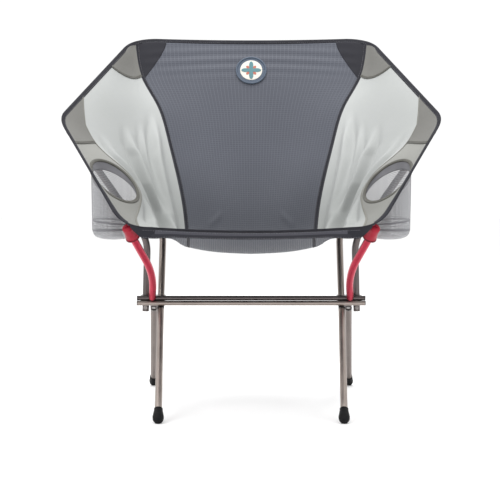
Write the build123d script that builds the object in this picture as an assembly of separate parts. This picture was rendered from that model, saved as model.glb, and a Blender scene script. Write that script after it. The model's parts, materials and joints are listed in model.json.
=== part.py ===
from build123d import *
import math
import os

# Ultralight backpacking chair: a fabric bucket seat hung from six pole tips, two crossbars,
# and four legs that fold sideways, in under the seat, for packing.
# Millimetres, Z up, Y pointing to the chair's back. The origin is on the floor, in the middle
# of the chair's outer box. Points are given for the right-hand side (+X), with y counted from
# the hub plane, where the poles meet the crossbars.

SIDES = {"left": -1, "right": 1}

# ---- frame -------------------------------------------------------------------------------
HUB_Y = -23.43                # the hub plane
BAR_HALF = 206.0              # half the length of a crossbar
BAR_R = 4.4
POLE_R = 6.1                  # uprights, arm poles and front legs
FRONT_POLE_R = 6.4
REAR_LEG_R = 6.6
WALL = 0.9                    # wall of every tube
RUN = 0.05                    # radial clearance of a pin in the eye that turns on it
GAP = 0.3                     # clearance between faces that slide or nearly touch

FRONT_BAR = (-10.0, 185.7)    # crossbar centres (y, z)
REAR_BAR = (-4.5, 194.4)

X_INNER = 165.0               # side plane of the front leg and the upright
X_MIDDLE = 178.8              # of the rear leg and the front pole
X_OUTER = 193.0               # of the arm pole's foot
HUB_INNER = 157.2             # the hub bracket's two ends
HUB_OUTER = 201.0
RIVET_X = (159.6, 185.2)

UPRIGHT_FOOT = (X_INNER, 9.0, 189.5)
UPRIGHT_BEND = (164.8, 55.0, 298.0)
UPRIGHT_TOP = (229.0, 239.0, 670.0)
ARM_FOOT = (X_OUTER, 7.5, 170.5)
ARM_BEND = (188.8, 3.0, 300.0)
ARM_TOP = (318.0, -58.5, 494.0)
FRONT_POLE_FOOT = (X_MIDDLE, -16.2, 197.0)
FRONT_POLE_BEND = (171.5, -73.0, 242.0)
FRONT_POLE_TOP = (204.0, -185.0, 323.5)
POLE_BEND_R = 70.0
FRONT_BEND_R = 280.0          # the front poles are bent more gently
UPRIGHT_SPLIT = 0.42          # share of the upright's upper run that lies below its joint
FERRULE = 34.0                # length of the insert that joins the upright's two sections
COLLAR = 1.5                  # half the length of the collar round the insert's middle
FERRULE_BORE = 3.0            # radius of the hole that the shock cord runs through
TIP_PLUG = 12.0               # how far a pole tip's plug reaches into the pole
CORD_R = 1.3
RIVET_R = 1.4                 # rivets from the crossbars into the hub
SCREW_R = 1.8                 # screw through the front pole's round end
PLUG_RIM = 1.5                # thickness of a crossbar plug's rim
PLUG_DEPTH = 8.0
HUB_PROFILE = [               # (y, z) outline of the bracket behind the crossbars
    (-9.5, 183.0), (-3.0, 183.0), (-3.0, 187.5), (26.0, 187.5), (26.0, 195.0),
    (22.0, 199.0), (-3.0, 199.0), (-3.0, 191.0), (-9.5, 188.0),
]

# ---- legs --------------------------------------------------------------------------------
FRONT_PIVOT = (X_INNER, 4.0, 180.2)
REAR_PIVOT = (X_MIDDLE, 20.5, 180.0)
FRONT_TOE = (155.0, -186.0)   # where the leg's axis meets the round end of its shoe
REAR_TOE = (196.5, 220.0)
FOLD_SKEW = 3.6               # degrees each fold plane is turned, so left and right legs pass
FRONT_SHOE_R = 9.4
REAR_SHOE_R = 8.8
SHOE_BODY = 11.0              # straight part of a shoe, above its round end
SHOE_TAPER = 6.0
SHOE_LIP = 1.2                # thickness of a shoe's rim round the leg
TOE_CAP = 2.0                 # rubber between the leg's end and the middle of the round end
TREAD = 0.8                   # how far the round end is cut flat at the floor
PIN_R = 2.0
HEAD_R = 3.4
HEAD = 1.0
TONGUE = 5.0                  # thickness of the flat tongue on top of a leg
EYE_R = 6.0
SHOULDER = 9.0                # from the pin to the shoulder that the leg tube butts against
BUTT = 3.0                    # length of the shoulder
PLUG = 18.0                   # length of the plug inside the leg tube
FORK = 11.6                   # thickness of the fork that holds a tongue
SHANK = 17.0                  # how far the fork reaches back into the hub

# ---- seat --------------------------------------------------------------------------------
BACK_CORNER = Vector(238.0, 235.0, 695.0)     # where the seat's straight edges would meet
ARM_CORNER = Vector(334.0, -80.0, 514.0)
SEAT_CORNER = Vector(210.0, -200.0, 326.0)
BACK_ROUND = 48.0             # length of edge that each corner's rounding takes up
ARM_ROUND = 15.0
SEAT_ROUND = 42.0
TOP_DIP = 3.0                 # how far the top edge and the front edge hang in the middle
FRONT_DIP = 6.0
FRONT_BOW = 8.0               # how far the front edge bows back
ARM_SHARE = 0.42              # share of a side's length, top to front, above the arm corner
CLOTH = 1.2
BINDING_R = 2.8
EDGE = BINDING_R + 1.7        # how far a panel stays back from the line of its edge
HEM = 10.0
HEM_THICKNESS = 2.4
CUP_R = 48.0
CUP_CENTRE = Vector(231.5, -100.5, 406.0)
CUP_NORMAL = Vector(-0.62, -0.40, 0.67).normalized()
RIM_R = 2.4
CUP_FLOOR = 304.0
CUP_COLUMN = 160.0            # taller than the pocket is deep
CUP_BORE = 80.0               # length of the cylinder that cuts the cup hole
BADGE_R = 30.5
BADGE_Z = 631.0
POCKET_WALL = 1.5
POCKETS = {                   # length of each sleeve, and how much wider it is at the pole's end
    "back_pocket": (55.0, 0.8),
    "arm_pocket": (45.0, 0.8),
    "front_pocket": (28.0, 2.0),
}

# the seam between the centre panel and a side panel, and the seat's centre line
SEAM = [
    (216, 198, 619), (180, 168, 555), (158.5, 140, 490), (137.5, 103, 412),
    (124, 72, 346), (118.5, 40, 301), (115, -12, 288), (110, -98, 300),
]
CENTRE = [
    (0, 204, 619), (0, 177, 555), (0, 149, 490), (0, 112, 412),
    (0, 78, 346), (0, 42, 293), (0, -14, 276), (0, -100, 289),
]
SEAM_FRONT_X = 104.0          # where the seam reaches the front edge


def at(point, side=1):
    """A right-hand point, moved to the chair's frame and to the side asked for."""
    x, y, z = point
    return Vector(side * x, y + HUB_Y, z)


def both(solid):
    """A right-hand solid and its mirror image, by side."""
    return {"left": mirror(solid, about=Plane.YZ), "right": solid}


def rod(start, end, radius, bore=0.0):
    """A straight rod or tube between two points."""
    run = end - start
    section = Circle(radius) - Circle(bore) if bore else Circle(radius)
    return extrude(Plane(origin=start, z_dir=run) * section, run.length)


def route(*points, radius=POLE_BEND_R):
    """A pole's centre line: straight runs with its bends rounded."""
    return FilletPolyline(*[at(p) for p in points], radius=radius)


def along(path, radius, bore=0.0):
    """A round section swept along a path."""
    section = Circle(radius) - Circle(bore) if bore else Circle(radius)
    return sweep(Plane(origin=path @ 0, z_dir=path % 0) * section, path=path)


def tip(end, direction, radius):
    """A moulded pole tip: a domed cap with a plug that fits the pole's bore."""
    plug = rod(end - direction * TIP_PLUG, end, radius - WALL)
    dome = Location(end) * Sphere(radius)
    keep = Plane(origin=end, z_dir=direction) * Box(
        3 * radius, 3 * radius, 2 * radius, align=(Align.CENTER, Align.CENTER, Align.MIN)
    )
    return plug + (dome & keep)


# ---- poles -------------------------------------------------------------------------------
def upright():
    """The back pole in two sections, the insert that joins them, its cord and its tip."""
    foot, bend, top = (at(p) for p in (UPRIGHT_FOOT, UPRIGHT_BEND, UPRIGHT_TOP))
    rise = (top - bend).normalized()
    joint = bend + (top - bend) * UPRIGHT_SPLIT
    collar = rise * COLLAR
    lower = FilletPolyline(foot, bend, joint - collar, radius=POLE_BEND_R)
    inner = POLE_R - WALL
    insert = rod(joint - rise * FERRULE / 2, joint + rise * FERRULE / 2, inner, FERRULE_BORE)
    insert += rod(joint - collar, joint + collar, POLE_R + 0.5, FERRULE_BORE)
    cord = FilletPolyline(foot + (bend - foot) * 0.1, bend, top - rise * 20, radius=POLE_BEND_R)
    return {
        "upright_lower": along(lower, POLE_R, inner),
        "upright_upper": rod(joint + collar, top, POLE_R, inner),
        "upright_ferrule": insert,
        "cord": along(cord, CORD_R),
        "upright_tip": tip(top, rise, POLE_R),
    }


def arm_pole():
    """The pole that holds an arm corner out, with a tip above and a riveted plug below."""
    path = route(ARM_FOOT, ARM_BEND, ARM_TOP)
    foot, bend, top = (at(p) for p in (ARM_FOOT, ARM_BEND, ARM_TOP))
    down = (foot - bend).normalized()
    plug = rod(foot - down * TIP_PLUG, foot, POLE_R - WALL) + rod(foot, foot + down, POLE_R)
    head = rod(foot - down * 6 - Vector(0, POLE_R + 1.2, 0), foot - down * 6, HEAD_R)
    return {
        "arm_pole": along(path, POLE_R, POLE_R - WALL) - head,
        "arm_pole_tip": tip(top, (top - bend).normalized(), POLE_R),
        "arm_pole_plug": plug + head,
    }


def front_pole():
    """The bent pole from the hub to a front corner of the seat, with a round lower end."""
    path = route(FRONT_POLE_FOOT, FRONT_POLE_BEND, FRONT_POLE_TOP, radius=FRONT_BEND_R)
    foot = at(FRONT_POLE_FOOT)
    down = path % 0 * -1
    return {
        "front_pole": along(path, FRONT_POLE_R, FRONT_POLE_R - WALL),
        "front_pole_foot": tip(foot, down, FRONT_POLE_R) - front_pole_screw(),
    }


def front_pole_screw(side=1):
    """The pin that holds the front pole's round end to the rear crossbar and the hub."""
    x, y, z = FRONT_POLE_FOOT
    return rod(at((x, y - 2, z + 0.4), side), at((x, 6, 192), side), SCREW_R)


# ---- hub ---------------------------------------------------------------------------------
def bar_line(bar, half):
    y, z = bar
    return at((-half, y, z)), at((half, y, z))


def crossbar_rivets(side):
    """Rivets from each crossbar into the hub behind it."""
    pins = []
    for x in RIVET_X:
        for y, z in (FRONT_BAR, REAR_BAR):
            pins.append(rod(at((x, y - 2, z), side), at((x, y + 8, z + 1.5), side), RIVET_R))
    return pins


def leg_axes(pivot, toe, shoe_r, side):
    """A leg's pivot, the centre of its shoe's round end, its direction and its hinge axis.

    Turning about the axis by a positive angle swings the toe in, towards the chair's middle.
    """
    start = at(pivot, side)
    end = at((toe[0], toe[1], shoe_r - TREAD), side)
    down = (end - start).normalized()
    axis = down.cross(Vector(-side, 0, 0)).normalized()
    return start, end, down, axis.rotate(Axis((0, 0, 0), down), FOLD_SKEW)


def fork(pivot, toe, shoe_r, side):
    """Two ears on a shank, in which a leg's tongue turns."""
    start, _, down, axis = leg_axes(pivot, toe, shoe_r, side)
    plane = Plane(origin=start, x_dir=down, z_dir=axis)
    shank = Pos(-SHANK / 2, 0, 0) * Box(SHANK, 2 * EYE_R, FORK)
    ears = shank + Cylinder(EYE_R, FORK)
    reach = EYE_R + 2 * GAP
    slot = Pos(SHANK / 2 - reach, 0, 0) * Box(SHANK, 3 * EYE_R, TONGUE + 2 * GAP)
    return plane * (ears - slot - Cylinder(PIN_R, 2 * FORK))


def hub(side):
    """The bracket behind the crossbars that carries the poles and the legs' forks."""
    profile = make_face(Polyline(*HUB_PROFILE, close=True))
    face = Plane(origin=(0, HUB_Y, 0), x_dir=(0, 1, 0), z_dir=(1, 0, 0)) * profile
    start, end = sorted((side * HUB_INNER, side * HUB_OUTER))
    block = Pos(start, 0, 0) * extrude(face, end - start)
    block += fork(FRONT_PIVOT, FRONT_TOE, FRONT_SHOE_R, side)
    block += fork(REAR_PIVOT, REAR_TOE, REAR_SHOE_R, side)
    for bar in (FRONT_BAR, REAR_BAR):
        block -= rod(*bar_line(bar, BAR_HALF), BAR_R)
    block -= rod(at(UPRIGHT_FOOT, side), at(UPRIGHT_BEND, side), POLE_R)
    block -= rod(at(ARM_FOOT, side), at(ARM_BEND, side), POLE_R)
    for pin in [*crossbar_rivets(side), front_pole_screw(side)]:
        block -= pin
    return block


def crossbar(bar):
    tube = rod(*bar_line(bar, BAR_HALF), BAR_R, BAR_R - WALL)
    for side in SIDES.values():
        for pin in [*crossbar_rivets(side), front_pole_screw(side)]:
            tube -= pin
    return tube


def crossbar_plugs():
    plugs = []
    for bar in (FRONT_BAR, REAR_BAR):
        y, z = bar
        for side in SIDES.values():
            outer = at((BAR_HALF + PLUG_RIM, y, z), side)
            face = at((BAR_HALF, y, z), side)
            inner = at((BAR_HALF - PLUG_DEPTH, y, z), side)
            plugs.append(rod(inner, face, BAR_R - WALL) + rod(face, outer, BAR_R))
    return plugs


# ---- legs --------------------------------------------------------------------------------
def leg(pivot, toe, radius, shoe_r, side):
    """A leg tube with its knuckle and its shoe, and the rivet that it turns on."""
    start, end, down, axis = leg_axes(pivot, toe, shoe_r, side)
    plane = Plane(origin=start, x_dir=down, z_dir=axis)
    tongue = Cylinder(EYE_R, TONGUE) + Pos(SHOULDER / 2, 0, 0) * Box(SHOULDER, 2 * EYE_R, TONGUE)
    tongue -= Cylinder(PIN_R + RUN, 2 * TONGUE)
    butt = start + down * (SHOULDER + BUTT)
    inner = radius - WALL
    knuckle = plane * tongue + rod(start + down * SHOULDER, butt, radius)
    knuckle += rod(butt, butt + down * PLUG, inner)
    rivet = plane * Cylinder(PIN_R, FORK)
    for way in (-1, 1):
        rivet += plane * Pos(0, 0, way * (FORK + HEAD) / 2) * Cylinder(HEAD_R, HEAD)
    return {
        "leg": rod(butt, end - down * TOE_CAP, radius, inner),
        "knuckle": knuckle,
        "shoe": shoe(end, down, radius, shoe_r),
        "rivet": rivet,
    }


def shoe(end, down, radius, shoe_r):
    """A rubber shoe: round below, tapered above, bored for the leg and cut flat at the floor."""
    body = Location(end) * Sphere(shoe_r) + rod(end - down * SHOE_BODY, end, shoe_r)
    top = Plane(origin=end - down * SHOE_BODY, z_dir=down * -1)
    body += top * Pos(0, 0, SHOE_TAPER / 2) * Cone(shoe_r, radius + SHOE_LIP, SHOE_TAPER)
    body -= rod(end - down * (SHOE_BODY + SHOE_TAPER + 1), end - down * TOE_CAP, radius)
    floor = Pos(end.X, end.Y, -shoe_r) * Box(4 * shoe_r, 4 * shoe_r, 2 * shoe_r)
    return body - floor


# ---- seat --------------------------------------------------------------------------------
def half_round(corner, before, after, cut):
    """The rounding of a corner, from its middle to where it meets the straight edge after it."""
    start = corner + (before - corner).normalized() * cut
    end = corner + (after - corner).normalized() * cut
    middle = (start + corner * 2 + end) / 4
    return Bezier(middle, (corner + end) / 2, end)


def flip(point):
    return Vector(-point.X, point.Y, point.Z)


def seat_frame(point):
    return at((point.X, point.Y, point.Z))


def side_edge():
    """The right-hand edge of the seat, from the back corner past the arm to the front corner."""
    back, arm, seat = (seat_frame(p) for p in (BACK_CORNER, ARM_CORNER, SEAT_CORNER))
    above = (back - arm).normalized() * ARM_ROUND
    below = (seat - arm).normalized() * ARM_ROUND
    first = half_round(back, flip(back), arm, BACK_ROUND)
    last = half_round(seat, flip(seat), arm, SEAT_ROUND)
    return Wire([
        first,
        Line(first @ 1, arm + above),
        Bezier(arm + above, arm, arm + below),
        Line(arm + below, last @ 1),
        Bezier(last @ 1, (seat + (last @ 1)) / 2, last @ 0),
    ])


def cross_edge(corner, arm, cut, dip, bow):
    """The seat's top or front edge, from the middle of one corner's rounding to the other's."""
    near = half_round(corner, arm, flip(corner), cut)
    start, end = near @ 1, flip(near @ 1)
    middle = (start + end) / 2 - Vector(0, 0, dip) + Vector(0, bow, 0)
    a, b = near @ 0, (corner + (near @ 1)) / 2
    return Wire([
        Bezier(a, b, start),
        ThreePointArc(start, middle, end),
        Bezier(end, flip(b), flip(a)),
    ])


def top_edge():
    return cross_edge(
        seat_frame(BACK_CORNER), seat_frame(ARM_CORNER), BACK_ROUND, TOP_DIP, 0
    )


def front_edge():
    return cross_edge(
        seat_frame(SEAT_CORNER), seat_frame(ARM_CORNER), SEAT_ROUND, FRONT_DIP, FRONT_BOW
    )


class Seat:
    """The seat's surface: across runs from one seam to the other, and out from a seam to the
    side edge; down runs from 0 at the top edge to 1 at the front edge."""

    def __init__(self):
        self.edge = side_edge()
        self.top = top_edge()
        front = front_edge()
        front_seam = Vector(SEAM_FRONT_X, (front @ 0.5).Y - 2, (front @ 0.5).Z + 1)
        self.seam = Spline(self.edge @ 0, *[at(p) for p in SEAM], front_seam)
        self.centre = Spline(self.top @ 0.5, *[at(p) for p in CENTRE], front @ 0.5)
        arm = seat_frame(ARM_CORNER)
        ahead = (seat_frame(BACK_CORNER) - arm).length - BACK_ROUND / 2
        self.arm_at = ahead / self.edge.length

    def side(self, down):
        """A point on the side edge."""
        if down < ARM_SHARE:
            share = self.arm_at * down / ARM_SHARE
        else:
            share = self.arm_at + (1 - self.arm_at) * (down - ARM_SHARE) / (1 - ARM_SHARE)
        return self.edge @ share

    def middle(self, across, down):
        """A point on the centre panel, across from -1 to 1."""
        seam, centre = self.seam @ down, self.centre @ down
        bend = across * across
        point = centre + (seam - centre) * bend
        point = Vector(seam.X * across, point.Y, point.Z)
        rim = self.top @ (0.5 - across / 2)
        flat = self.centre @ 0 + ((self.seam @ 0) - (self.centre @ 0)) * bend
        pull = max(0.0, 1 - down / 0.15) ** 2
        return point + Vector(0, rim.Y - flat.Y, rim.Z - flat.Z) * pull

    def wing(self, out, down):
        """A point on the side, out from 0 at the seam to 1 at the edge's binding."""
        seam, edge, centre = self.seam @ down, self.side(down), self.centre @ down
        span = edge - seam
        edge = edge - span.normalized() * EDGE
        tangent = Vector(seam.X, 2 * (seam.Y - centre.Y), 2 * (seam.Z - centre.Z)).normalized()
        lead = (tangent + span.normalized()).normalized() * span.length / 3
        a, b = seam + lead, edge - span / 3
        rest = 1 - out
        return seam * rest**3 + a * (3 * rest**2 * out) + b * (3 * rest * out**2) + edge * out**3


def steps(start, end, count):
    return [start + (end - start) * i / count for i in range(count + 1)]


def cloth(point, across, down):
    """A panel of even thickness over the surface that point() gives."""
    grid = [[point(a, d) for a in across] for d in down]
    return Solid.thicken(Face.make_surface_from_array_of_points(grid), CLOTH)


def arm_seam(down):
    """How far out the seam between side panel and arm panel lies."""
    return 0.5 + 0.3 * max(0.0, 1 - down / 0.62) ** 1.5


def cup_ring(grow):
    """The cylinder through a cup hole, normal to the cloth."""
    centre = seat_frame(CUP_CENTRE)
    half = CUP_NORMAL * (CUP_BORE / 2)
    return rod(centre - half, centre + half, CUP_R + grow)


def panels(seat, binding):
    """The right-hand side panel and arm panel, with the cup hole cut in them."""
    hole = cup_ring(RIM_R + GAP) + cup_column(GAP) + cup_rim(GAP)
    down = steps(0.05, 0.985, 14)

    def inner(share, d):
        return seat.wing(0.012 + (arm_seam(d) - 0.018) * share, d)

    def outer(share, d):
        start = arm_seam(d) + 0.012
        return seat.wing(start + (1 - start) * share, d)

    side = cloth(inner, steps(0, 1, 6), down) - hole
    arm = cloth(outer, steps(0, 1, 6), down) - hole - side - binding
    return {"side_panel": side, "arm_panel": arm}


def cup_column(grow, lift=0.0):
    """The upright column below a cup hole: the hole's outline, seen from above."""
    centre = seat_frame(CUP_CENTRE)
    turn = math.degrees(math.atan2(CUP_NORMAL.Y, CUP_NORMAL.X))
    base = Location((centre.X, centre.Y, CUP_FLOOR + lift), (0, 0, turn))
    return base * extrude(Ellipse(CUP_R * CUP_NORMAL.Z + grow, CUP_R + grow), CUP_COLUMN)


def cup_rim(grow=0.0):
    plane = Plane(origin=seat_frame(CUP_CENTRE), z_dir=CUP_NORMAL)
    return plane * Torus(CUP_R + RIM_R, RIM_R + grow)


def cup_holder():
    """The bound rim of a cup hole, and the mesh pocket that hangs from it."""
    plane = Plane(origin=seat_frame(CUP_CENTRE), z_dir=CUP_NORMAL)
    above = plane * Pos(0, 0, CUP_COLUMN - RIM_R - GAP) * Box(
        2 * CUP_COLUMN, 2 * CUP_COLUMN, 2 * CUP_COLUMN
    )
    bag = cup_column(0) - cup_column(-CLOTH, CLOTH) - above
    return {"cup_rim": cup_rim(), "cup_pocket": bag}


def pocket(end, before, length, radius, flare):
    """A closed sleeve over a pole's tip."""
    run = (end - before).normalized()
    plane = Plane(origin=end - run * length, z_dir=run)
    outer = plane * Pos(0, 0, length / 2) * Cone(
        radius + POCKET_WALL, radius + POCKET_WALL + flare, length
    )
    close = rod(end, end + run * (radius + 1), radius + POCKET_WALL + flare)
    loose = radius + GAP / 2
    bore = rod(end - run * (length + 1), end + run * loose, loose)
    return outer + close - bore


def badge(seat):
    """A plain round patch on the back's centre line."""
    share = next(d for d in steps(0, 0.4, 200) if (seat.centre @ d).Z < BADGE_Z)
    point, slope = seat.centre @ share, seat.centre % share
    normal = slope.cross(Vector(1, 0, 0)).normalized()
    if normal.Y > 0:
        normal = normal * -1
    lift = point + normal * (CLOTH + GAP)
    return rod(lift, lift + normal * CLOTH, BADGE_R)


def hem():
    """The band that hangs from the front edge, under its binding."""
    path = front_edge().edges()[1]
    drop = Vector(0, 0, -(BINDING_R + GAP + HEM / 2))
    section = Plane(origin=(path @ 0) + drop, x_dir=(0, 1, 0), z_dir=path % 0)
    moved = path.moved(Location(drop))
    return sweep(section * Rectangle(HEM_THICKNESS, HEM), path=moved)


def seat_nodes():
    """The seat's middle nodes, and its right-hand nodes to be mirrored."""
    seat = Seat()
    binding = along(side_edge(), BINDING_R)
    sides = both(binding)
    nodes = {
        "centre_panel": cloth(seat.middle, steps(-0.985, 0.985, 12), steps(0.012, 0.985, 16)),
        "top_binding": along(top_edge(), BINDING_R) - sides["left"] - sides["right"],
        "front_binding": along(front_edge(), BINDING_R) - sides["left"] - sides["right"],
        "front_hem": hem(),
        "badge": badge(seat),
    }
    right = {**panels(seat, binding), **cup_holder(), "side_binding": binding}
    tips = {
        "back_pocket": (UPRIGHT_TOP, UPRIGHT_BEND, POLE_R),
        "arm_pocket": (ARM_TOP, ARM_BEND, POLE_R),
        "front_pocket": (FRONT_POLE_TOP, FRONT_POLE_BEND, FRONT_POLE_R),
    }
    for name, (end, before, radius) in tips.items():
        length, flare = POCKETS[name]
        right[name] = pocket(at(end), at(before), length, radius, flare)
    return nodes, right


# ---- assembly ----------------------------------------------------------------------------
def chair():
    nodes, right = seat_nodes()
    right.update(upright())
    right.update(arm_pole())
    right.update(front_pole())
    nodes["upright_cords"] = Compound(list(both(right.pop("cord")).values()))
    for name, solid in right.items():
        for side, piece in both(solid).items():
            nodes[f"{name}_{side}"] = piece
    nodes["crossbar_front"] = crossbar(FRONT_BAR)
    nodes["crossbar_rear"] = crossbar(REAR_BAR)
    nodes["crossbar_plugs"] = Compound(crossbar_plugs())
    pins = []
    for side in SIDES.values():
        pins += [*crossbar_rivets(side), front_pole_screw(side)]
    nodes["crossbar_rivets"] = Compound(pins)
    for name, side in SIDES.items():
        front = leg(FRONT_PIVOT, FRONT_TOE, POLE_R, FRONT_SHOE_R, side)
        rear = leg(REAR_PIVOT, REAR_TOE, REAR_LEG_R, REAR_SHOE_R, side)
        nodes[f"hub_{name}"] = hub(side) - front["rivet"] - rear["rivet"]
        for end, pieces in (("front", front), ("rear", rear)):
            for part in ("leg", "knuckle", "shoe"):
                nodes[f"{end}_{part}_{name}"] = pieces[part]
        nodes[f"leg_rivets_{name}"] = Compound([front["rivet"], rear["rivet"]])
    return nodes


os.makedirs("parts", exist_ok=True)
for node, shape in chair().items():
    export_step(shape, f"parts/{node}.step")
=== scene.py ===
import json
import math

import bmesh
import bpy
import numpy as np
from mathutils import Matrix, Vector


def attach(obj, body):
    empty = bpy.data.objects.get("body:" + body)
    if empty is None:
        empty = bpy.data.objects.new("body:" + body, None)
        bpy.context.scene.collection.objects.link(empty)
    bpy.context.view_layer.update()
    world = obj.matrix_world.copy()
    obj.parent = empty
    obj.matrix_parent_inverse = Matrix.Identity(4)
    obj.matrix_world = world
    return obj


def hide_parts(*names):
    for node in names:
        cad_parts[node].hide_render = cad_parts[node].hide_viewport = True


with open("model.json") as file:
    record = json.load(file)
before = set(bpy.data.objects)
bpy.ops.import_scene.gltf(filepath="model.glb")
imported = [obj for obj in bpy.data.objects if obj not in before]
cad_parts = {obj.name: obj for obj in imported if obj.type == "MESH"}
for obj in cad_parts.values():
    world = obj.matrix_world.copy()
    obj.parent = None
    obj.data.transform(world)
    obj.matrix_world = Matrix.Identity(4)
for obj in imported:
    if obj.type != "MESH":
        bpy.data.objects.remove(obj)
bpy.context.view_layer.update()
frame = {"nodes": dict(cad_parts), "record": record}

# Ultralight backpacking chair. Lengths in the lists below are millimetres in the chair's own
# frame, for the right-hand side, with y counted from the hub plane; place() turns them to metres.

MM = 0.001
HUB_Y = -23.43
SIDES = {"left": -1, "right": 1}
SITTER = np.array([0.0, -0.35, 0.60])   # a place over the seat, in metres in the world

# ---- the seat's outline ------------------------------------------------------------------
BACK_CORNER = (238.0, 235.0, 695.0)
ARM_CORNER = (334.0, -80.0, 514.0)
SEAT_CORNER = (210.0, -200.0, 326.0)
BACK_ROUND = 48.0
ARM_ROUND = 26.0
SEAT_ROUND = 42.0
TOP_DIP = 3.0
FRONT_DIP = 6.0
FRONT_BOW = 8.0
TOP_PULL = 0.15               # share of the centre panel, at its top, that bends to the top edge
FRONT_PULL = 0.10             # share of the wing, at its front, that bends to the front edge
ARM_SHARE = 0.42              # share of a side's length, top to front, above the arm corner
EDGE = 3.0                    # how far a panel stays back from the line of its edge
SEAM = [
    (216, 198, 619), (180, 168, 555), (158.5, 140, 490), (137.5, 103, 412),
    (124, 72, 346), (118.5, 40, 301), (115, -12, 288), (110, -98, 300),
]
CENTRE = [
    (0, 204, 619), (0, 177, 555), (0, 149, 490), (0, 112, 412),
    (0, 78, 346), (0, 42, 293), (0, -14, 276), (0, -100, 289),
]
SEAM_FRONT_X = 104.0
ARM_SEAM = [                  # (out, down) of the seam between side panel and arm panel
    (1.0, 0.32), (0.87, 0.393), (0.77, 0.467), (0.70, 0.54), (0.60, 0.60),
    (0.545, 0.66), (0.56, 0.74), (0.60, 0.82), (0.70, 0.92), (0.79, 0.994),
]
FOLDS = [                     # (out, down) along each fold, its width as a share of out, its height
    ([(0.46, 0.34), (0.34, 0.445), (0.29, 0.533), (0.20, 0.602), (0.14, 0.68), (0.12, 0.80)], 0.038, 12.0),
    ([(0.13, 0.25), (0.145, 0.412), (0.143, 0.527), (0.117, 0.622), (0.11, 0.75)], 0.042, 9.5),
    ([(0.66, 0.42), (0.56, 0.50), (0.44, 0.57), (0.34, 0.66), (0.30, 0.80)], 0.038, 9.5),
    ([(0.30, 0.30), (0.25, 0.42), (0.21, 0.53), (0.16, 0.60), (0.15, 0.72)], 0.030, 6.0),
    ([(0.52, 0.56), (0.42, 0.66), (0.40, 0.80), (0.44, 0.95)], 0.045, 7.5),
]
CUP_CENTRE = (236.0, -101.0, 405.0)
CUP_NORMAL = (-0.62, -0.40, 0.67)
CUP_R = 48.0
CUP_RIM = (6.4, 3.2)          # width and thickness of the tape round the hole
CUP_REACH = 75.0              # how far round the cup hole the cloth is drawn flat
CUP_FLOOR = 304.0
BAG_ROUND = 20.0              # rounding of the cup pocket's bottom
COLLAR_IN = 0.005             # share of the way to the cup's middle that the collar is drawn in
COLLAR_SHARE = 0.13           # share of a cup pocket's wall that its solid collar covers

CLOTH = 0.7
PATCH_CLOTH = 0.6
PATCH_LIFT = 0.7              # from a panel's own surface to that of a patch on it
BACKING_LIFT = -0.9           # the same for the layer behind the pan
EDGE_TAPE = (9.0, 2.6)        # width and thickness, here and in the next six lines
SEAM_TAPE = (8.0, 2.0)
ARM_SEAM_TAPE = (3.6, 1.2)
PATCH_HEM = (6.0, 1.2)
CUP_BAND = (3.2, 0.9)
CUP_SEAM = (2.6, 0.9)
SLEEVE_HEM = (3.6, 1.4)
EDGE_OVER = 2.8               # how far the edge tape reaches past the line of the edge
EDGE_STITCH = 2.2             # from the edge tape's inner border in to its stitches
SEAM_STITCH = 2.6             # from the middle of a seam tape out to each row of stitches
HEM_STITCH = 1.9              # the same for a patch's hem
STITCH = 2.8                  # length of a stitch
STITCH_PITCH = 4.2
THREAD_R = 0.38
HEM_TOP = 2.4                 # from the front edge's line down to the hanging band
HEM_DROP = 10.8
CORNER_DROP = 4.0             # extra depth of the band where it meets the front corners
BADGE_R = 29.0
BADGE_EDGE = (3.4, 2.8)       # width and thickness of its stitched edge
BADGE_Z = 631.0
POLE_TOPS = {                 # each pole's top, the point before it, and the way its sleeve faces
    "back_pocket": ((229.0, 239.0, 670.0), (164.8, 55.0, 298.0), (-0.55, -1.32, -0.40)),
    "arm_pocket": ((318.0, -58.5, 494.0), (188.8, 3.0, 300.0), (-0.98, -0.82, 0.02)),
    "front_pocket": ((204.0, -185.0, 323.5), (171.5, -73.0, 242.0), (0.0, -1.0, 0.0)),
}
SLEEVES = {                   # length, width at the hem, width at the tip, half the thickness
    "back_pocket": (55.0, 15.0, 24.0, 7.9),
    "arm_pocket": (45.0, 14.5, 16.0, 7.65),
    "front_pocket": (26.0, 22.0, 17.5, 8.6),
}
LEGS = {                      # each leg's hinge, the place of its foot, its shoe's and its tube's radius
    "front": ((165.0, 4.0, 180.2), (155.0, -186.0), 9.4, 6.1),
    "rear": ((178.8, 20.5, 180.0), (196.5, 220.0), 8.8, 6.6),
}
TREAD = 0.8                   # how far a shoe's round end is cut flat at the floor
SHOE_WALL = 2.5               # straight part of a shoe above its round end
SHOE_TOP = 19.5               # from the round end's middle up to the rim


# ---- curves ------------------------------------------------------------------------------
def place(point):
    x, y, z = point
    return np.array([x, y + HUB_Y, z]) * MM


def unit(v):
    return v / np.maximum(np.linalg.norm(v, axis=-1, keepdims=True), 1e-12)


def turns(count):
    """Angles round a full turn."""
    return np.arange(count) * 2 * math.pi / count


def spokes(first, second, angle):
    """Directions out from an axis, from first at angle 0 to second a quarter turn on."""
    return np.cos(angle)[:, None] * first + np.sin(angle)[:, None] * second


def ease(t):
    t = np.clip(t, 0, 1)
    return t * t * (3 - 2 * t)


def bezier(points, count=24):
    t = np.linspace(0, 1, count)[:, None]
    line = [np.array(p, float) for p in points]
    while len(line) > 1:
        line = [a * (1 - t) + b * t for a, b in zip(line, line[1:])]
    return line[0]


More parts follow.
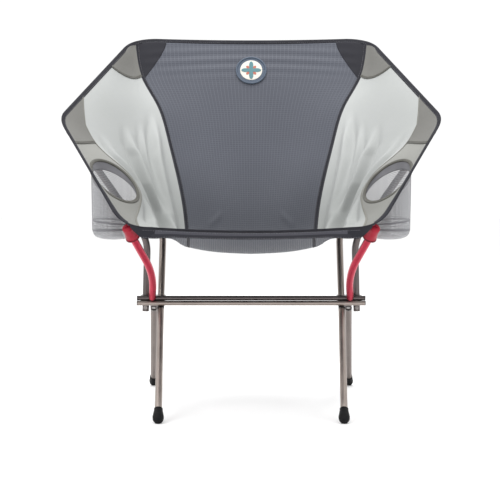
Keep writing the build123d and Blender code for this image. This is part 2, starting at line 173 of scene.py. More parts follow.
def spline(points):
    """A smooth line through the points: a natural cubic spline over their distances."""
    p = np.array(points, float)
    knots = np.concatenate([[0], np.cumsum(np.linalg.norm(np.diff(p, axis=0), axis=1))])
    h = np.diff(knots)
    n = len(p)
    a = np.eye(n)
    b = np.zeros_like(p)
    for i in range(1, n - 1):
        a[i, i - 1:i + 2] = h[i - 1], 2 * (h[i - 1] + h[i]), h[i]
        b[i] = 6 * ((p[i + 1] - p[i]) / h[i] - (p[i] - p[i - 1]) / h[i - 1])
    m = np.linalg.solve(a, b)
    s = np.linspace(0, knots[-1], 200)
    i = np.clip(np.searchsorted(knots, s, side="right") - 1, 0, n - 2)
    t = ((s - knots[i]) / h[i])[:, None]
    square = h[i][:, None] ** 2 / 6
    bend = ((1 - t) ** 3 - (1 - t)) * m[i] + (t ** 3 - t) * m[i + 1]
    return p[i] * (1 - t) + p[i + 1] * t + square * bend


class Path:
    """A line that is followed by its length, from 0 to 1."""

    def __init__(self, points):
        self.points = np.array(points, float)
        steps = np.linalg.norm(np.diff(self.points, axis=0), axis=1)
        self.run = np.concatenate([[0], np.cumsum(steps)])
        self.length = self.run[-1]

    def at(self, share):
        s = np.clip(share, 0, 1) * self.length
        axes = range(self.points.shape[1])
        return np.stack([np.interp(s, self.run, self.points[:, i]) for i in axes], axis=-1)


def mirrored(points, side):
    return points * np.array([side, 1, 1])


def flip(points):
    return mirrored(points, -1)


def half_round(corner, before, after, cut):
    """The second half of a corner's rounding, from its middle to the straight edge after it."""
    start = corner + unit(before - corner) * cut
    end = corner + unit(after - corner) * cut
    return bezier([(start + 2 * corner + end) / 4, (corner + end) / 2, end])


def side_edge():
    """The right-hand edge, from the middle of the back corner to that of the front corner."""
    back, arm, seat = place(BACK_CORNER), place(ARM_CORNER), place(SEAT_CORNER)
    above = arm + unit(back - arm) * ARM_ROUND * MM
    below = arm + unit(seat - arm) * ARM_ROUND * MM
    first = half_round(back, flip(back), arm, BACK_ROUND * MM)
    last = half_round(seat, flip(seat), arm, SEAT_ROUND * MM)[::-1]
    return np.concatenate([first, bezier([above, arm, below]), last])


def cross_edge(corner, cut, dip, bow):
    """The top or front edge, from the middle of the right-hand corner's rounding to the left's."""
    near = half_round(place(corner), place(ARM_CORNER), flip(place(corner)), cut * MM)
    start, end = near[-1], flip(near[-1])
    pull = np.array([0, 2 * bow, -2 * dip]) * MM
    arc = bezier([start, (start + end) / 2 + pull, end], 60)
    return np.concatenate([near, arc[1:-1], flip(near[::-1])])


def ripples(across, down):
    """Height of the fine ripples that run across the centre panel below its top edge."""
    level, reach, height = 0.06, 0.05, 0.7
    wave = np.sin(down * 210 + 2.0 * np.cos(across * 2.1))
    return height * wave * np.exp(-((down - level) / reach) ** 2) * (1 - across ** 4)


def crease(across, down):
    """Height of the slanting crease in each half of the centre panel, above the pan."""
    start, end, fade = 0.40, 0.70, 0.1
    height, width = 1.3, 0.012
    line = 0.558 + 0.18 * (across - 0.45)
    ridge = height * np.exp(-((down - line) / width) ** 2)
    return ridge * ease((across - start) / fade) * ease((end - across) / fade)


def slow_waves(across, down):
    """Height of the slow waves over the whole centre panel."""
    return np.sin(across * 6.0 + down * 9.0) * np.sin(down * math.pi) ** 2


class Seat:
    """The right-hand half of the seat's surface. across runs from the centre line to the seam,
    out from the seam to the side edge, and down from the top edge to the front edge."""

    def __init__(self):
        self.edge = Path(side_edge())
        self.top = Path(cross_edge(BACK_CORNER, BACK_ROUND, TOP_DIP, 0))
        self.front = Path(cross_edge(SEAT_CORNER, SEAT_ROUND, FRONT_DIP, FRONT_BOW))
        middle = self.front.at(0.5)
        ahead, above = 2.0 * MM, 1.0 * MM
        last = np.array([SEAM_FRONT_X * MM, middle[1] - ahead, middle[2] + above])
        self.seam = Path(spline([self.edge.at(0), *[place(p) for p in SEAM], last]))
        self.centre = Path(spline([self.top.at(0.5), *[place(p) for p in CENTRE], middle]))
        upper = np.linalg.norm(place(BACK_CORNER) - place(ARM_CORNER)) - BACK_ROUND * MM / 2
        self.arm_at = upper / self.edge.length
        self.arm_seam = Path(spline([(*p, 0) for p in ARM_SEAM])[:, :2])
        shares = np.linspace(0, 0.5, 500)
        self.seam_share = shares[np.abs(self.front.at(shares)[:, 0] - SEAM_FRONT_X * MM).argmin()]

    def side(self, down):
        """Points of the side edge."""
        above = self.arm_at * down / ARM_SHARE
        below = self.arm_at + (1 - self.arm_at) * (down - ARM_SHARE) / (1 - ARM_SHARE)
        return self.edge.at(np.where(down < ARM_SHARE, above, below))

    def flat_middle(self, across, down):
        """The centre panel, with its first rows drawn to the line of the top edge."""
        seam, centre = self.seam.at(down), self.centre.at(down)
        bend = (across ** 2)[..., None]
        p = centre + (seam - centre) * bend
        p[..., 0] = seam[..., 0] * across
        rim = self.top.at(0.5 - across / 2)
        flat = self.centre.at(0) + (self.seam.at(0) - self.centre.at(0)) * bend
        pull = np.maximum(0, 1 - down / TOP_PULL) ** 2
        p[..., 1:] += (rim - flat)[..., 1:] * pull[..., None]
        return p

    def straight_wing(self, out, down):
        """The wing as one curve at each level, from the seam's slope out to the side edge."""
        seam, edge, centre = self.seam.at(down), self.side(down), self.centre.at(down)
        way = unit(edge - seam)
        edge = edge - way * EDGE * MM
        third = np.linalg.norm(edge - seam, axis=-1, keepdims=True) / 3
        slope = 2 * (seam - centre)
        slope[..., 0] = seam[..., 0]
        a = seam + unit(unit(slope) + way) * third
        b = edge - way * third
        t = out[..., None]
        r = 1 - t
        return seam * r ** 3 + a * 3 * r ** 2 * t + b * 3 * r * t ** 2 + edge * t ** 3

    def plain_wing(self, out, down):
        """The wing, with its last rows drawn to the line of the front edge."""
        p = self.straight_wing(out, down)
        hem = self.front.at((1 - out) * self.seam_share)
        pull = np.maximum(0, 1 - (1 - down) / FRONT_PULL) ** 2
        return p + (hem - self.straight_wing(out, np.ones_like(out))) * pull[..., None]

    def flat_wing(self, out, down):
        """The wing, drawn flat round the cup hole."""
        p = self.plain_wing(out, down)
        centre, normal = place(CUP_CENTRE), unit(np.array(CUP_NORMAL))
        lift = (p - centre) @ normal
        reach = np.linalg.norm(p - centre - lift[..., None] * normal, axis=-1)
        near = ease(1 - (reach - CUP_R * MM) / (CUP_REACH * MM))
        edge_hold, seam_hold = 0.1, 0.35
        hold = ease((1 - out) / edge_hold) * ease(out / seam_hold)
        return p - (lift * near * hold)[..., None] * normal

    def middle(self, across, down):
        """The centre panel with its wrinkles."""
        height = ripples(across, down) + crease(across, down) + slow_waves(across, down)
        lift = self.middle_normal(across, down) * height[..., None] * MM
        return self.flat_middle(across, down) + lift

    def wing(self, out, down):
        """The wing with the long soft folds that fan up from the seat's back corner, each with
        a shallower valley beside it."""
        valley, beside, fade = 0.6, 1.6, 0.12
        height = np.zeros_like(out)
        for places, width, depth in FOLDS:
            downs = [d for _, d in places]
            line = np.interp(down, downs, [o for o, _ in places])
            off = (out - line) / width
            run = ease((down - downs[0]) / fade) * ease((downs[-1] - down) / fade)
            height += depth * (np.exp(-off ** 2) - valley * np.exp(-(off - beside) ** 2)) * run
        return self.flat_wing(out, down) + self.wing_normal(out, down) * height[..., None] * MM

    def middle_normal(self, across, down):
        return surface_normal(self.flat_middle, across, down)

    def wing_normal(self, out, down):
        return surface_normal(self.flat_wing, out, down)


def surface_normal(surface, a, b):
    """The surface's normal, on the side that faces the sitter."""
    step = 0.004
    da = surface(a + step, b) - surface(a - step, b)
    db = surface(a, b + step) - surface(a, b - step)
    normal = unit(np.cross(da, db))
    inward = SITTER - surface(a, b)
    return normal * np.where((normal * inward).sum(-1, keepdims=True) < 0, -1.0, 1.0)


# ---- meshes ------------------------------------------------------------------------------
def make(name, points, faces, uvs, material, body="root"):
    """A smooth mesh object that rides on a body. uvs are metres on the cloth, one per point."""
    mesh = bpy.data.meshes.new(name)
    mesh.from_pydata([tuple(p) for p in points], [], [tuple(f) for f in faces])
    layer = mesh.uv_layers.new(name="cloth")
    for loop in mesh.loops:
        layer.data[loop.index].uv = uvs[loop.vertex_index]
    mesh.polygons.foreach_set("use_smooth", [True] * len(mesh.polygons))
    obj = bpy.data.objects.new(name, mesh)
    bpy.context.collection.objects.link(obj)
    obj.data.materials.append(material)
    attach(obj, body)
    return obj


def tidy_normals(obj):
    bm = bmesh.new()
    bm.from_mesh(obj.data)
    bmesh.ops.recalc_face_normals(bm, faces=bm.faces)
    bm.to_mesh(obj.data)
    bm.free()


def grid_faces(rows, columns, turned, wrap=False):
    """Quads over a grid of points held row by row; wrap joins the last column to the first."""
    faces = []
    for i in range(rows - 1):
        for j in range(columns if wrap else columns - 1):
            k = (j + 1) % columns
            face = (i * columns + j, i * columns + k, (i + 1) * columns + k, (i + 1) * columns + j)
            faces.append(face[::-1] if turned else face)
    return faces


def cloth_uv(points):
    """Distances over the cloth along a grid's middle row and middle column."""
    rows, columns = points.shape[:2]
    row = np.linalg.norm(np.diff(points[rows // 2], axis=0), axis=1)
    column = np.linalg.norm(np.diff(points[:, columns // 2], axis=0), axis=1)
    u = np.concatenate([[0], np.cumsum(row)])
    v = np.concatenate([[0], np.cumsum(column)])
    return np.stack(np.broadcast_arrays(u[None, :], v[:, None]), axis=-1)


def sheet_grid(name, points, side, material, thickness=CLOTH, uv=None, hole=None):
    """A cloth panel from a grid of points. hole(points) gives each point's distance outside a
    hole and the place on its rim that a point just inside is moved to."""
    rows, columns = points.shape[:2]
    flat = points.reshape(-1, 3)
    flat_uv = (cloth_uv(points) if uv is None else uv).reshape(-1, 2)
    faces = grid_faces(rows, columns, side < 0)
    if hole:
        outside, rim = hole(flat)
        faces = [f for f in faces if max(outside[i] for i in f) > 0]
        flat = np.where((outside < 0)[:, None], rim, flat)
    used = sorted({i for f in faces for i in f})
    index = {old: new for new, old in enumerate(used)}
    faces = [[index[i] for i in f] for f in faces]
    obj = make(name, mirrored(flat[used], side), faces, flat_uv[used], material)
    if thickness:
        solid = obj.modifiers.new("thickness", "SOLIDIFY")
        solid.thickness = thickness * MM
        solid.offset = 0
    return obj


def tape(name, line, across, normal, size, side, material, closed=False):
    """A flat tape of rounded section along a line of points. size is its width and thickness."""
    width, thickness = size
    count = 14
    angle = turns(count)
    wide = np.sign(np.cos(angle)) * np.abs(np.cos(angle)) ** 0.6 * width * MM / 2
    deep = np.sign(np.sin(angle)) * np.abs(np.sin(angle)) ** 0.8 * thickness * MM / 2
    points = line[:, None] + across[:, None] * wide[:, None] + normal[:, None] * deep[:, None]
    uv = np.stack(np.broadcast_arrays(Path(line).run[:, None], wide), axis=-1)
    rows = len(line)
    if closed:
        faces = grid_faces(rows + 1, count, side < 0, wrap=True)
        faces = [[i % (rows * count) for i in face] for face in faces]
    else:
        faces = grid_faces(rows, count, side < 0, wrap=True)
        faces += [list(range(count))[::-1], [(rows - 1) * count + j for j in range(count)]]
    flat = mirrored(points.reshape(-1, 3), side)
    obj = make(name, flat, faces, uv.reshape(-1, 2), material)
    tidy_normals(obj)
    return obj


def stitches(name, line, normal, side, material):
    """A row of thread stitches on a surface, along a line of points."""
    path = Path(line)
    count = int(path.length / (STITCH_PITCH * MM))
    half = STITCH * MM / 2 / path.length
    thick = THREAD_R * MM
    points, faces = [], []
    for i in range(count):
        share = (i + 0.5) / count
        a, b = path.at(share - half), path.at(share + half)
        n = normal[min(int(share * len(line)), len(line) - 1)]
        cross = unit(np.cross(b - a, n))
        base = len(points)
        points += [a - n * thick * 0.6, b - n * thick * 0.6]
        for end in (a * 0.75 + b * 0.25, a * 0.25 + b * 0.75):
            points += [end + n * thick, end + cross * thick, end - n * thick, end - cross * thick]
        for j in range(4):
            k = (j + 1) % 4
            faces.append((base, base + 2 + k, base + 2 + j))
            faces.append((base + 1, base + 6 + j, base + 6 + k))
            faces.append((base + 2 + j, base + 2 + k, base + 6 + k, base + 6 + j))
    points = mirrored(np.array(points), side)
    obj = make(name, points, faces, np.zeros((len(points), 2)), material)
    tidy_normals(obj)
    return obj


def ring_of(ring):
    """A closed row of points or directions, with its first one repeated at the end."""
    return np.concatenate([ring, ring[:1]])


def wrapped(rings):
    """Closed rings as a grid, with each ring's first point repeated at its end."""
    return np.concatenate([rings, rings[:, :1]], axis=1)


# ---- materials ---------------------------------------------------------------------------
class Look:
    """A material under construction."""

    def __init__(self, name, roughness, metallic=0.0):
        self.material = bpy.data.materials.new(name)
        self.material.use_nodes = True
        self.tree = self.material.node_tree
        self.shader = self.tree.nodes["Principled BSDF"]
        self.shader.inputs["Roughness"].default_value = roughness
        self.shader.inputs["Metallic"].default_value = metallic
        self.place = self.tree.nodes.new("ShaderNodeTexCoord")

    def put(self, socket, value):
        """Sets a socket to a number, a colour or another node's output."""
        if isinstance(value, bpy.types.NodeSocket):
            self.tree.links.new(value, socket)
        elif isinstance(value, tuple) and len(value) == 3 and len(socket.default_value) == 4:
            socket.default_value = (*value, 1.0)
        else:
            socket.default_value = value

    def calc(self, kind, a, b=0.0):
        node = self.tree.nodes.new("ShaderNodeMath")
        node.operation = kind
        self.put(node.inputs[0], a)
        self.put(node.inputs[1], b)
        return node.outputs[0]

    def weighed(self, *pairs):
        """The sum of some values, each times its weight."""
        total = 0.0
        for value, weight in pairs:
            total = self.calc("ADD", self.calc("MULTIPLY", value, weight), total)
        return total

    def ridges(self, value, wave="SINE"):
        """Rounded ridges, one to each half wave, from 0 to 1."""
        return self.calc("ABSOLUTE", self.calc(wave, value))

    def coords(self, kind, scale=(1, 1, 1)):
        node = self.tree.nodes.new("ShaderNodeMapping")
        self.put(node.inputs["Vector"], self.place.outputs[kind])
        node.inputs["Scale"].default_value = scale
        return node.outputs["Vector"]

    def split(self, vector):
        node = self.tree.nodes.new("ShaderNodeSeparateXYZ")
        self.put(node.inputs[0], vector)
        return node.outputs

    def waves(self, pitch):
        """The cloth's two directions, with half a wave to each pitch (metres)."""
        return self.split(self.coords("UV", (math.pi / pitch,) * 3))[:2]

    def noise(self, vector, scale, detail):
        node = self.tree.nodes.new("ShaderNodeTexNoise")
        self.put(node.inputs["Vector"], vector)
        node.inputs["Scale"].default_value = scale
        node.inputs["Detail"].default_value = detail
        return node.outputs["Fac"]

    def grain(self, scale, detail):
        return self.noise(self.coords("Object"), scale, detail)

    def blotches(self, scale, detail, low, high):
        """Noise with more contrast: 0 where it is under low, 1 where it is over high."""
        return self.span(self.grain(scale, detail), low, high)

    def span(self, value, low, high, to_low=0.0, to_high=1.0):
        node = self.tree.nodes.new("ShaderNodeMapRange")
        self.put(node.inputs["Value"], value)
        for socket, number in zip(node.inputs[1:5], (low, high, to_low, to_high)):
            socket.default_value = number
        return node.outputs[0]

    def mix(self, share, a, b, kind="MIX"):
        node = self.tree.nodes.new("ShaderNodeMix")
        node.data_type = "RGBA"
        node.blend_type = kind
        self.put(node.inputs["Factor"], share)
        self.put(node.inputs[6], a)
        self.put(node.inputs[7], b)
        return node.outputs[2]

    def painted_shade_low(self, colour, low, bottom, top):
        """The colour with painted shade towards the seat, deepening from the height top to bottom."""
        share = self.span(self.split(self.coords("Object"))[2], bottom, top)
        tint = self.mix(share, (low, low * 1.01, low), (1.0, 1.0, 1.0))
        return self.mix(1.0, colour, tint, "MULTIPLY")

    def colour(self, value):
        self.put(self.shader.inputs["Base Color"], value)

    def rough(self, value):
        self.put(self.shader.inputs["Roughness"], value)

    def dull(self, amount=0.2):
        """Cloth and rubber throw back less of the room than smooth plastic does."""
        self.shader.inputs["Specular IOR Level"].default_value = amount

    def bump(self, height, distance, strength):
        node = self.tree.nodes.new("ShaderNodeBump")
        node.inputs["Distance"].default_value = distance
        node.inputs["Strength"].default_value = strength
        self.put(node.inputs["Height"], height)
        self.put(self.shader.inputs["Normal"], node.outputs["Normal"])

    def sheen(self, amount, tint=(1.0, 1.0, 1.0)):
        self.shader.inputs["Sheen Weight"].default_value = amount
        self.shader.inputs["Sheen Roughness"].default_value = 0.45
        self.shader.inputs["Sheen Tint"].default_value = (*tint, 1.0)


def weave(look, pitch):
    """The height of a plain weave, from 0 to 1, with threads a pitch apart (metres)."""
    x, y = look.waves(pitch)
    both = look.calc("MULTIPLY", look.ridges(x), look.ridges(y))
    over = look.calc("MULTIPLY", look.calc("SINE", x), look.calc("SINE", y))
    return look.span(look.calc("ADD", both, over), -1.0, 2.0)


def cloth_look(name, light, dark, pitch, roughness=0.75, sheen=0.1, bump=0.25, low=1.0):
    """Woven cloth: a plain weave, thread to thread variation, a soft mottle, and painted shade towards the
    seat that takes the colour down to low times itself.
    """
    look = Look(name, roughness)
    threads = weave(look, pitch)
    patches = look.blotches(6.0, 4.0, 0.3, 0.7)
    fibres = look.noise(look.coords("UV", (900, 160, 1)), 1.0, 2.0)
    share = look.weighed((threads, 0.35), (patches, 0.35), (fibres, 0.3))
    look.colour(look.painted_shade_low(look.mix(share, dark, light), low, 0.29, 0.50))
    look.dull()
    look.rough(look.span(patches, 0.0, 1.0, roughness - 0.06, roughness + 0.06))
    look.bump(look.weighed((threads, 1.0), (fibres, 0.4)), 0.0003, bump)
    look.sheen(sheen)
    return look.material


def ripstop_look():
    """Slate ripstop: a fine weave crossed by a grid of thicker threads, with painted shade towards the
    seat.
    """
    look = Look("ripstop_slate", 0.62)
    lines = [look.span(look.ridges(axis, "COSINE"), 0.90, 0.99) for axis in look.waves(0.0046)]
    grid = look.calc("MAXIMUM", *lines)
    threads = weave(look, 0.0009)
    patches = look.blotches(5.0, 4.0, 0.3, 0.7)
    ground = look.mix(patches, (0.043, 0.047, 0.062), (0.054, 0.059, 0.076))
    fine = look.mix(look.calc("MULTIPLY", threads, 0.35), ground, (0.092, 0.098, 0.119))
    cloth = look.mix(look.calc("MULTIPLY", grid, 0.28), fine, (0.125, 0.132, 0.158))
    # painted shade: the ripstop darkens to 0.62 of its colour towards the seat
    look.colour(look.painted_shade_low(cloth, 0.62, 0.28, 0.46))
    look.dull(0.3)
    look.rough(look.span(grid, 0.0, 1.0, 0.64, 0.50))
    look.bump(look.weighed((grid, 1.0), (threads, 0.35)), 0.0004, 0.35)
    look.sheen(0.05, (0.80, 0.86, 1.0))
    return look.material


def mesh_look():
    """Open net: round holes in staggered rows, with a solid thread net between them."""
    look = Look("pocket_mesh", 0.7)
    x, y = look.waves(0.0021)
    holes = look.calc("MULTIPLY", look.calc("SINE", x), look.calc("SINE", y))
    net = look.span(look.calc("ABSOLUTE", holes), 0.25, 0.65, 1.0, 0.25)
    look.colour(look.mix(look.grain(300.0, 2.0), (0.21, 0.213, 0.225), (0.30, 0.303, 0.315)))
    look.put(look.shader.inputs["Alpha"], net)
    look.dull()
    look.bump(net, 0.0003, 0.3)
    look.sheen(0.2)
    return look.material


def tape_look(name, light, dark, sheen):
    """Narrow woven tape with ribs across it and cords along it."""
    look = Look(name, 0.8)
    x, y = look.waves(0.0011)
    height = look.weighed((look.ridges(x), 1.0), (look.ridges(look.calc("MULTIPLY", y, 0.8)), 0.6))
    dust = look.blotches(25.0, 4.0, 0.35, 0.75)
    share = look.weighed((look.span(height, 0, 1.6), 0.5), (dust, 0.5))
    look.colour(look.mix(share, dark, light))
    look.bump(height, 0.0003, 0.4)
    look.dull()
    look.sheen(sheen)
    return look.material


def hem_look():
    """The front band: a lighter strip over a dark one, both ribbed."""
    look = Look("front_band", 0.78)
    ribs = look.ridges(look.waves(0.0013)[0])
    lower = look.span(look.split(look.coords("UV"))[1], 0.0048, 0.0054)
    upper = look.mix(ribs, (0.042, 0.042, 0.052), (0.064, 0.064, 0.077))
    dark = look.mix(ribs, (0.012, 0.012, 0.016), (0.030, 0.030, 0.037))
    look.colour(look.mix(lower, upper, dark))
    look.bump(ribs, 0.0003, 0.35)
    look.dull()
    look.sheen(0.06)
    return look.material


def anodised_look(name, light, dark, roughness):
    """Anodised tube: fine drawn lines along it, a slight mottle and small rubbed spots."""
    look = Look(name, roughness, 1.0)
    drawn = look.noise(look.coords("Object", (900, 900, 14)), 1.0, 3.0)
    mottle = look.blotches(30.0, 4.0, 0.3, 0.7)
    scratches = look.span(look.noise(look.coords("Object", (260, 260, 60)), 1.0, 5.0), 0.66, 0.72)
    base = look.mix(look.weighed((drawn, 0.5), (mottle, 0.5)), dark, light)
    worn = tuple(min(1.0, c * 1.5 + 0.08) for c in light)
    look.colour(look.mix(look.calc("MULTIPLY", scratches, 0.2), base, worn))
    look.rough(look.span(mottle, 0.0, 1.0, roughness - 0.05, roughness + 0.07))
    look.bump(drawn, 0.00008, 0.25)
    return look.material


def cast_look(name, light, dark, roughness=0.45, metallic=1.0):
    """Die-cast or moulded pieces: a fine grain and rubbed high spots."""
    look = Look(name, roughness, metallic)
    grain = look.grain(1400.0, 3.0)
    look.colour(look.mix(look.blotches(120.0, 5.0, 0.45, 0.7), dark, light))
    look.rough(look.span(grain, 0.3, 0.7, roughness - 0.07, roughness + 0.08))
    look.bump(grain, 0.00015, 0.4)
    return look.material


def rubber_look():
    """Black rubber: a matt grain with dusty spots."""
    look = Look("shoe_rubber_look", 0.72)
    dust = look.blotches(90.0, 4.0, 0.45, 0.8)
    look.colour(look.mix(dust, (0.004, 0.004, 0.005), (0.012, 0.0115, 0.0115)))
    look.rough(look.span(dust, 0.0, 1.0, 0.52, 0.85))
    look.bump(look.grain(1600.0, 3.0), 0.0002, 0.35)
    look.dull(0.15)
    return look.material


def thread_look(name, light, dark):
    """Twisted thread or cord."""
    look = Look(name, 0.6)
    twist = look.grain(2500.0, 2.0)
    look.colour(look.mix(twist, dark, light))
    look.bump(twist, 0.0001, 0.5)
    look.sheen(0.3)
    return look.material


RIPSTOP = ripstop_look()
# The light side cloth and the taupe arm cloth carry painted shade towards the seat, set by low.
LIGHT_CLOTH = cloth_look(
    "side_cloth_light", (0.42, 0.43, 0.427), (0.325, 0.337, 0.328), 0.0009, low=0.68,
)
ARM_CLOTH = cloth_look(
    "arm_cloth_taupe", (0.31, 0.31, 0.292), (0.20, 0.20, 0.186), 0.0015, bump=0.5, low=0.62,
)
TAUPE_PATCH = cloth_look(
    "taupe_patch", (0.185, 0.183, 0.172), (0.115, 0.113, 0.104), 0.0012, bump=0.4,
)
DARK_PATCH = cloth_look(
    "dark_patch", (0.022, 0.022, 0.029), (0.011, 0.011, 0.015), 0.0012, sheen=0.03, bump=0.4,
)
RED_CLOTH = cloth_look(
    "red_sleeve_cloth", (0.34, 0.012, 0.030), (0.22, 0.007, 0.018), 0.0010, roughness=0.5, sheen=0.0,
)
MESH = mesh_look()
BLACK_TAPE = tape_look("black_tape", (0.024, 0.024, 0.031), (0.009, 0.009, 0.012), 0.04)
SOFT_TAPE = tape_look("soft_taupe_tape", (0.21, 0.207, 0.185), (0.13, 0.127, 0.112), 0.06)
TAUPE_TAPE = tape_look("taupe_tape", (0.11, 0.108, 0.096), (0.06, 0.058, 0.050), 0.06)
GREY_TAPE = tape_look("grey_tape", (0.22, 0.22, 0.235), (0.14, 0.14, 0.15), 0.1)
RED_TAPE = tape_look("red_tape", (0.16, 0.012, 0.020), (0.09, 0.007, 0.012), 0.05)
HEM = hem_look()
RUBBER = rubber_look()
DARK_THREAD = thread_look("dark_thread", (0.10, 0.10, 0.115), (0.05, 0.05, 0.06))
GREY_THREAD = thread_look("grey_thread", (0.26, 0.26, 0.25), (0.16, 0.16, 0.15))


# ---- seat pieces -------------------------------------------------------------------------
PANEL_TOP = 0.006             # where panels start and end, as shares of the seat's length
PANEL_END = 0.994
ARM_TOP = 0.33                # where the arm panel starts along the side edge
PAN_TOP = 0.62                # where the slate backing under the seat pan starts
PATCH_LOW = 0.575             # how far down an arm corner's patch reaches
PATCH_SEAM = 0.30             # share of the arm seam that the patch's inner edge follows


def centre_panel(seat):
    a, d = np.meshgrid(np.linspace(-0.99, 0.99, 150), np.linspace(0.004, 0.99, 190))
    points = seat.middle(np.abs(a), d)
    points[..., 0] *= np.where(a < 0, -1, 1)
    obj = sheet_grid("centre_cloth", points, 1, RIPSTOP)
    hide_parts("centre_panel")
    return obj, points


def between(inner, outer, rows, columns):
    """A grid of spots (out, down) from one line of spots to another."""
    t, s = np.linspace(0, 1, rows), np.linspace(0, 1, columns)
    a, b = inner.at(t)[:, None], outer.at(t)[:, None]
    spot = a + (b - a) * s[None, :, None]
    return spot[..., 0], spot[..., 1]


def cup_frame():
    """The cup hole's centre, its normal and two directions across it."""
    centre, normal = place(CUP_CENTRE), unit(np.array(CUP_NORMAL))
    first = unit(np.cross(normal, [0, 0, 1.0]))
    return centre, normal, first, np.cross(normal, first)


def cup_hole(points):
    """How far each point lies outside the cup hole, and the nearest place on its rim."""
    centre, normal, *_ = cup_frame()
    lift = (points - centre) @ normal
    flat = points - centre - lift[:, None] * normal
    reach = np.linalg.norm(flat, axis=1)
    rim = centre + unit(flat) * CUP_R * MM + lift[:, None] * normal
    return np.where(np.abs(lift) < 0.06, reach - CUP_R * MM, 1.0), rim


def wing_panels(seat, name, side):
    """The light side panel and the taupe arm panel of one side, each with its points."""
    middle_seam = Path([(0.008, PANEL_TOP), (0.008, PANEL_END)])
    edge_and_seam = Path(np.concatenate([[(1.0, PANEL_TOP)], seat.arm_seam.points]))
    arm_edge = Path([(1.0, ARM_TOP), (1.0, PANEL_END)])
    light_points = seat.wing(*between(middle_seam, edge_and_seam, 200, 90))
    light = sheet_grid(f"side_cloth_{name}", light_points, side, LIGHT_CLOTH)
    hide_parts(f"side_panel_{name}")
    arm_points = seat.wing(*between(seat.arm_seam, arm_edge, 260, 90))
    arm = sheet_grid(f"arm_cloth_{name}", arm_points, side, ARM_CLOTH, hole=cup_hole)
    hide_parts(f"arm_panel_{name}")
    return (light, light_points), (arm, arm_points)


def patch(name, surface, normal, spots, side, material, lift=PATCH_LIFT):
    """A second layer of cloth on a panel, over some spots of its surface."""
    points = surface(*spots) + normal(*spots) * lift * MM
    return sheet_grid(name, points, side, material, PATCH_CLOTH)


def back_hem(out):
    """How far down the taupe patch at a back corner reaches."""
    return 0.112 + 0.044 * np.sin(out * 2.0)


def corner_patches(seat, name, side):
    """The dark corner of the centre panel, and the taupe corners of the side and arm panels."""
    t, s = np.meshgrid(np.linspace(0, 1, 30), np.linspace(0, 1, 40))
    inner = 0.745 + 0.235 * s ** 1.5      # its inner border leans out towards the seam
    spots = inner + (0.99 - inner) * t, PANEL_TOP + 0.112 * s
    surface, normal = seat.middle, seat.middle_normal
    dark = patch(f"top_corner_patch_{name}", surface, normal, spots, side, DARK_PATCH)
    spots = 0.01 + 0.985 * t, 0.008 + (back_hem(t) - 0.008) * s
    surface, normal = seat.wing, seat.wing_normal
    back = patch(f"back_corner_patch_{name}", surface, normal, spots, side, TAUPE_PATCH)
    start = seat.arm_seam.at(s * PATCH_SEAM)
    out, top = start[..., 0], start[..., 1]
    low = ARM_TOP + (PATCH_LOW - ARM_TOP) * s
    spots = out + (1 - out) * t, top + (low - top) * t
    arm = patch(f"arm_corner_patch_{name}", surface, normal, spots, side, TAUPE_PATCH)
    return dark, back, arm


def pan_backing(seat, name, side):
    """The slate layer under the pan, beside the seam."""
    t, s = np.meshgrid(np.linspace(0, 1, 30), np.linspace(0, 1, 60))
    spots = 0.01 + 0.34 * t, PAN_TOP + 0.355 * s
    surface, normal = seat.wing, seat.wing_normal
    return patch(f"pan_backing_{name}", surface, normal, spots, side, RIPSTOP, BACKING_LIFT)


def along_line(line):
    return unit(np.gradient(line, axis=0))


def across_line(line, normal):
    """The direction across a line on a surface, at each of its points."""
    return unit(np.cross(normal, along_line(line)))


def hem_rows(seat, name, side):
    """The double stitched hems along the patches' open edges."""
    rows = []
    t = np.linspace(0.02, 0.98, 60)
    inner_out, inner_down = seat.arm_seam.at(PATCH_SEAM)
    arm_hem = inner_out + (1 - inner_out) * t, inner_down + (PATCH_LOW - inner_down) * t
    lines = {"back": (0.01 + 0.985 * t, back_hem(t)), "arm": arm_hem}
    for which, (out, down) in lines.items():
        normal = seat.wing_normal(out, down)
        line = seat.wing(out, down - 0.003) + normal * 1.1 * MM
        across = across_line(line, normal)
        hem = f"{which}_patch_hem_{name}"
        rows.append(tape(hem, line, across, normal, PATCH_HEM, side, TAUPE_TAPE))
        for i, shift in enumerate((-HEM_STITCH, HEM_STITCH)):
            row = line + across * shift * MM + normal * PATCH_HEM[1] / 2 * MM
            thread = f"{which}_patch_stitch_{name}_{i}"
            rows.append(stitches(thread, row, normal, side, GREY_THREAD))
    return rows


def smooth_rows(rows):
    """A running mean over rows of directions, so that a tape turns a corner gently."""
    reach = 9
    pad = np.concatenate([rows[:1]] * reach + [rows] + [rows[-1:]] * reach)
    return unit(sum(pad[i:i + len(rows)] for i in range(2 * reach + 1)))


def square_to(vector, along):
    return unit(vector - (vector * along).sum(-1, keepdims=True) * along)


def edge_tape(name, line, inward, front, side, node):
    """The folded tape over an edge, with a row of stitches on each face."""
    along = along_line(line)
    across = square_to(smooth_rows(inward), along)
    normal = unit(np.cross(along, across))
    normal = normal * np.sign((normal * front).sum())
    width, thickness = EDGE_TAPE
    centre = line + across * (width / 2 - EDGE_OVER) * MM
    obj = tape(f"{name}_tape", centre, across, normal, EDGE_TAPE, side, BLACK_TAPE)
    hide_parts(node)
    pieces = [obj]
    for face, way in (("front", 1), ("back", -1)):
        row = centre + across * (width / 2 - EDGE_STITCH) * MM + normal * way * thickness / 2 * MM
        pieces.append(stitches(f"{name}_stitch_{face}", row, normal * way, side, DARK_THREAD))
    return pieces


def side_tape(seat, name, side):
    down = np.linspace(0.0, 1.0, 420)
    line = seat.side(down)
    inward = seat.seam.at(np.clip(down, 0.07, 0.93)) - line
    front = np.array([-0.5, -0.6, 0.6])
    return edge_tape(f"side_edge_{name}", line, unit(inward), front, side, f"side_binding_{name}")


